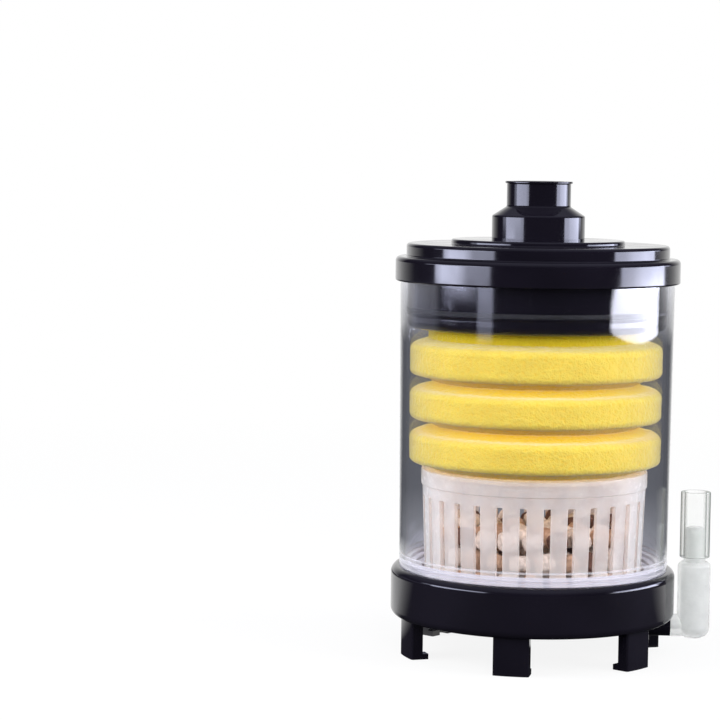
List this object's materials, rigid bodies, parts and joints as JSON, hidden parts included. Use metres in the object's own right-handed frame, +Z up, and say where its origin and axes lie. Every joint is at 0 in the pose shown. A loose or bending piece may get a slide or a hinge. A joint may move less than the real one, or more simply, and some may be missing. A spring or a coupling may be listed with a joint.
{
  "type": "canister filter",
  "caption": "Clear upright aquarium canister filter: black stepped lid with hose nozzle, foam rings, basket of ceramic media, footed base ring and side inlet elbow.",
  "frame": {"origin": "on the canister's axis, at the level that the feet stand on", "axes": "+Z up along the canister's axis, +X towards the inlet elbow, -Y towards the side shown in the picture"},
  "size_m": [0.129, 0.1146, 0.19],
  "materials": {
    "black_abs": "polished moulded",
    "clear_acrylic": "clear moulded",
    "milky_polypropylene": "translucent moulded",
    "frosted_polypropylene": "translucent moulded",
    "clear_tube": "clear extruded",
    "yellow_foam": "open-cell foam",
    "white_ceramic": "unglazed porous",
    "tan_ceramic": "unglazed porous",
    "brown_ceramic": "unglazed porous",
    "black_rubber": "moulded",
    "stainless_steel": "turned"
  },
  "bodies": {
    "base": {"base_ring": "black_abs", "foot_1": "black_abs", "foot_2": "black_abs", "foot_3": "black_abs", "foot_4": "black_abs", "foot_5": "black_abs", "foot_6": "black_abs", "foot_screws": "stainless_steel", "barrel": "clear_acrylic", "inlet_manifold": "black_abs", "inlet_washer": "black_rubber", "inlet_nut": "black_abs"},
    "lid": {"lid": "black_abs", "lid_gasket": "black_rubber", "plug_seal": "black_rubber", "nozzle": "black_abs", "nozzle_seal": "black_rubber", "nozzle_nut": "black_abs"},
    "cartridge": {"head_plate": "black_abs", "core_tube": "black_abs", "core_nut": "black_abs", "lower_foam": "yellow_foam", "middle_foam": "yellow_foam", "upper_foam": "yellow_foam"},
    "basket": {"media_basket": "milky_polypropylene", "basket_lid": "milky_polypropylene", "ceramic_media_white": "white_ceramic", "ceramic_media_tan": "tan_ceramic", "ceramic_media_brown": "brown_ceramic"},
    "elbow": {"elbow": "frosted_polypropylene", "elbow_seal": "black_rubber"},
    "riser": {"riser_tube": "clear_tube"}
  },
  "joints": [
    {"name": "lid_lift", "type": "slide", "parent": "base", "child": "lid", "axis": [0, 0, 1], "range_m": [0, 0.18]},
    {"name": "cartridge_lift", "type": "slide", "parent": "base", "child": "cartridge", "axis": [0, 0, 1], "range_m": [0, 0.162]},
    {"name": "basket_lift", "type": "slide", "parent": "base", "child": "basket", "axis": [0, 0, 1], "range_m": [0, 0.144]},
    {"name": "elbow_swivel", "type": "hinge", "parent": "base", "child": "elbow", "pos_m": [0.0558, 0, 0.0119], "axis": [1, 0, 0], "range_deg": [-85, 85]},
    {"name": "riser_pull", "type": "slide", "parent": "elbow", "child": "riser", "axis": [0, 0, 1], "range_m": [0, 0.03]}
  ],
  "couplings": [
    {"joint": "cartridge_lift", "follows": "lid_lift", "ratio": 0.9},
    {"joint": "basket_lift", "follows": "lid_lift", "ratio": 0.8}
  ]
}
